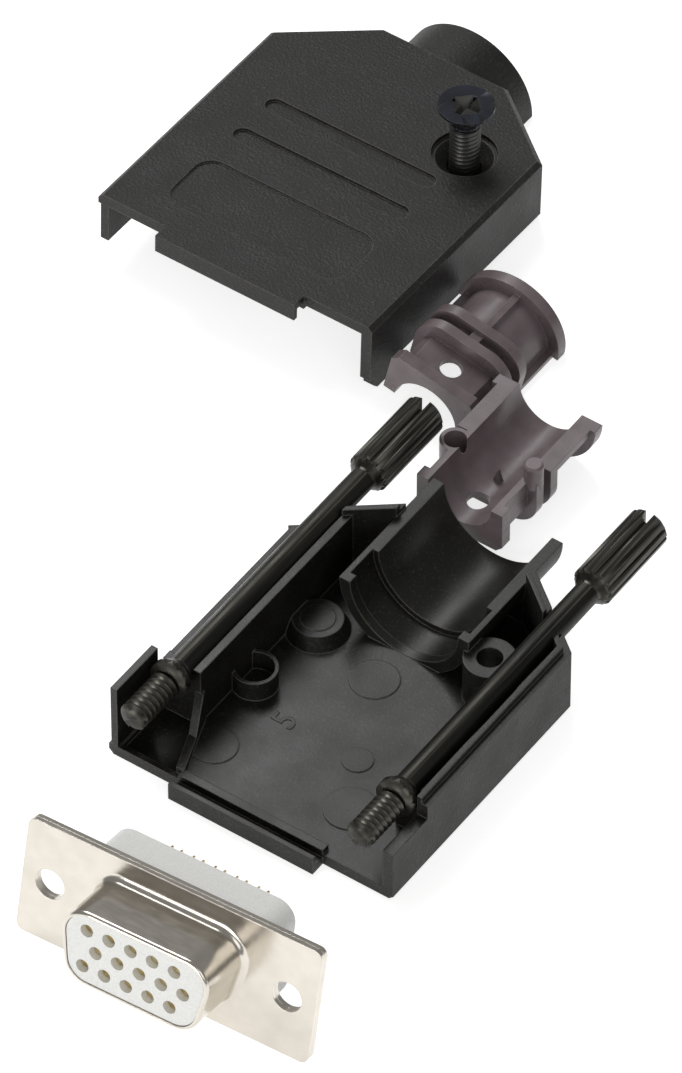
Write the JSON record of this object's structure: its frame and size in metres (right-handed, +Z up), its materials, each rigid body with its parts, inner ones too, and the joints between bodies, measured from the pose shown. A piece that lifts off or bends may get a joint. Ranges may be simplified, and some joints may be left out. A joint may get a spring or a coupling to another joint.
{
  "type": "d-sub connector kit",
  "caption": "Opened D-sub hood kit: cover halves, jackscrews, cover screw, split cable clamp and a high-density socket connector with solder cups, laid out on a bench.",
  "frame": {"origin": "centre of the straight body of the lower cover, on its outer face, which lies on the bench", "axes": "+Y from the mating face to the cable exit, +X across the hood to the side of the cover screw, +Z up"},
  "size_m": [0.0741, 0.117, 0.0141],
  "materials": {
    "hood_black": "spark-eroded grain outside, smoother inside",
    "bolt_black": "black zinc plating on steel",
    "clamp_grey": "satin moulded, brown grey",
    "jackscrew_black": "blackened steel",
    "shell_plating": "tin plated drawn steel",
    "insulator_white": "white glass-filled thermoplastic",
    "contact_gold": "gold flash over copper alloy"
  },
  "bodies": {
    "root": {"lower_cover": "hood_black", "upper_cover": "hood_black", "cover_screw": "bolt_black", "clamp_lower": "clamp_grey", "clamp_upper": "clamp_grey", "front_shell": "shell_plating", "rear_shell": "shell_plating", "front_insulator": "insulator_white", "rear_insulator": "insulator_white", "contact_01": "contact_gold", "contact_02": "contact_gold", "contact_03": "contact_gold", "contact_04": "contact_gold", "contact_05": "contact_gold", "contact_06": "contact_gold", "contact_07": "contact_gold", "contact_08": "contact_gold", "contact_09": "contact_gold", "contact_10": "contact_gold", "contact_11": "contact_gold", "contact_12": "contact_gold", "contact_13": "contact_gold", "contact_14": "contact_gold", "contact_15": "contact_gold"},
    "left_jackscrew": {"jackscrew_left": "jackscrew_black"},
    "right_jackscrew": {"jackscrew_right": "jackscrew_black"}
  },
  "joints": [
    {"name": "left_jackscrew_turn", "type": "hinge", "parent": "root", "child": "left_jackscrew", "pos_m": [-0.01249, 0, 0.00725], "axis": [0, 1, 0], "continuous": true},
    {"name": "right_jackscrew_turn", "type": "hinge", "parent": "root", "child": "right_jackscrew", "pos_m": [0.01249, 0, 0.00725], "axis": [0, 1, 0], "continuous": true}
  ]
}
